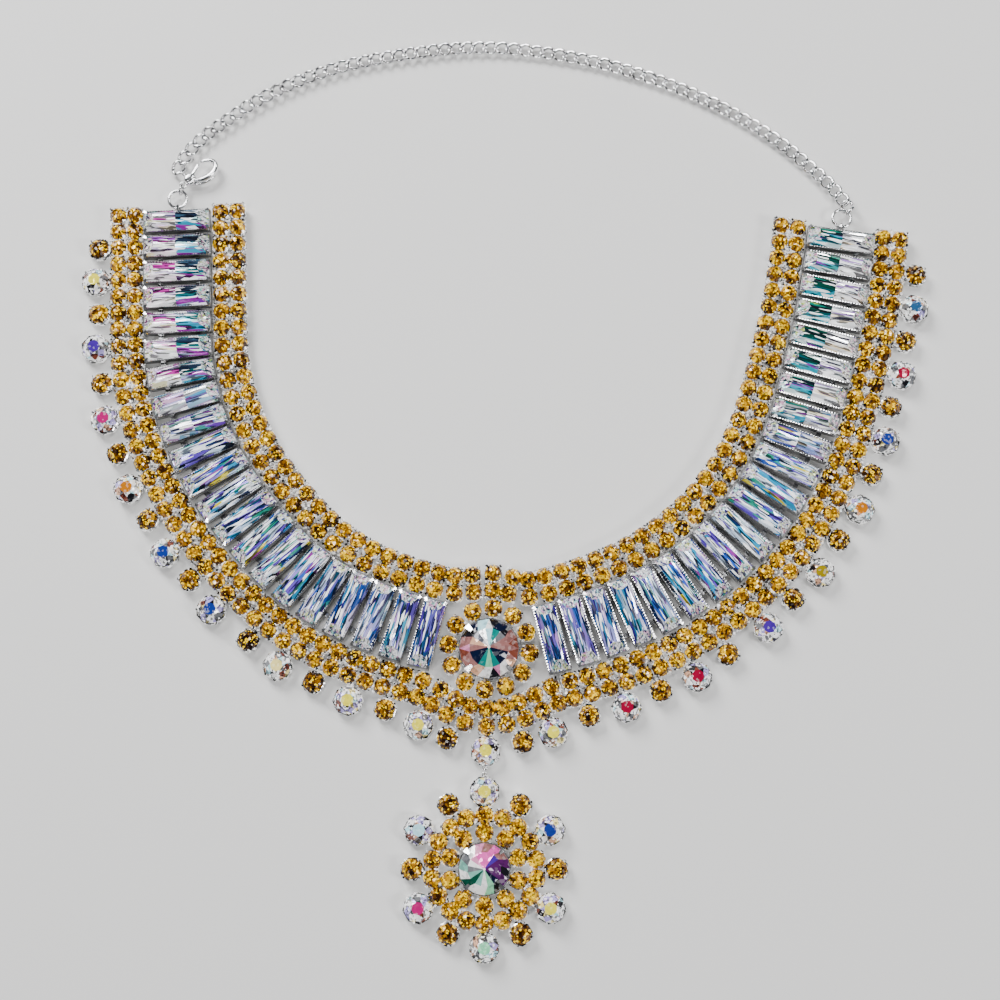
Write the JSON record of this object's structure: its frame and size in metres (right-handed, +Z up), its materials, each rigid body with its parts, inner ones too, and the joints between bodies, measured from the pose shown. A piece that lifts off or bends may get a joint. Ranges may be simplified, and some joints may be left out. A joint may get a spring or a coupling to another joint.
{
  "type": "bib necklace",
  "caption": "Bib necklace lying open: a curved row of baguette stones between topaz borders, drops, a round pendant, a curb chain and a lobster clasp",
  "frame": {"origin": "middle of the back of the centre stone's setting, where the jewel rests on the table", "axes": "+Z up off the table, +Y towards the clasp and the chain, +X to the right as it lies"},
  "size_m": [0.1841, 0.1997, 0.0055],
  "materials": {
    "silver_metal": "bright rhodium-coloured plating on cast and stamped metal",
    "aurora_glass": "cut glass with a foil back and an iridescent coat",
    "topaz_stones": "amber cut glass with a foil back, in plated cups",
    "rivoli_glass": "pointed round cut glass with an iridescent coat, in plated claws"
  },
  "bodies": {
    "necklace": {"baguette_left_01": "aurora_glass", "baguette_left_02": "aurora_glass", "baguette_left_03": "aurora_glass", "baguette_left_04": "aurora_glass", "baguette_left_05": "aurora_glass", "baguette_left_06": "aurora_glass", "baguette_left_07": "aurora_glass", "baguette_left_08": "aurora_glass", "baguette_left_09": "aurora_glass", "baguette_left_10": "aurora_glass", "baguette_left_11": "aurora_glass", "baguette_left_12": "aurora_glass", "baguette_left_13": "aurora_glass", "baguette_left_14": "aurora_glass", "baguette_left_15": "aurora_glass", "baguette_left_16": "aurora_glass", "baguette_left_17": "aurora_glass", "baguette_left_18": "aurora_glass", "baguette_left_19": "aurora_glass", "baguette_left_20": "aurora_glass", "baguette_left_21": "aurora_glass", "baguette_right_01": "aurora_glass", "baguette_right_02": "aurora_glass", "baguette_right_03": "aurora_glass", "baguette_right_04": "aurora_glass", "baguette_right_05": "aurora_glass", "baguette_right_06": "aurora_glass", "baguette_right_07": "aurora_glass", "baguette_right_08": "aurora_glass", "baguette_right_09": "aurora_glass", "baguette_right_10": "aurora_glass", "baguette_right_11": "aurora_glass", "baguette_right_12": "aurora_glass", "baguette_right_13": "aurora_glass", "baguette_right_14": "aurora_glass", "baguette_right_15": "aurora_glass", "baguette_right_16": "aurora_glass", "baguette_right_17": "aurora_glass", "baguette_right_18": "aurora_glass", "baguette_right_19": "aurora_glass", "baguette_right_20": "aurora_glass", "baguette_right_21": "aurora_glass", "back_frame_left": "silver_metal", "back_frame_right": "silver_metal", "pendant_link": "silver_metal", "end_ring_left": "silver_metal", "end_ring_right": "silver_metal", "clasp_ring": "silver_metal", "clasp_body": "silver_metal", "chain": "silver_metal", "inner_border_left": "topaz_stones", "inner_border_right": "topaz_stones", "outer_border_left": "topaz_stones", "outer_border_right": "topaz_stones", "centre_halo": "topaz_stones", "pendant_inner_ring": "topaz_stones", "pendant_outer_ring": "topaz_stones", "centre_stone": "rivoli_glass", "pendant_stone": "rivoli_glass"},
    "clasp_lever": {"clasp_lever": "silver_metal"}
  },
  "joints": [
    {"name": "clasp_lever_hinge", "type": "hinge", "parent": "necklace", "child": "clasp_lever", "pos_m": [-0.06625, 0.10441, 0.00145], "axis": [0, 0, -1], "range_deg": [0, 25], "stiffness_Nm_per_rad": 0.0001}
  ]
}
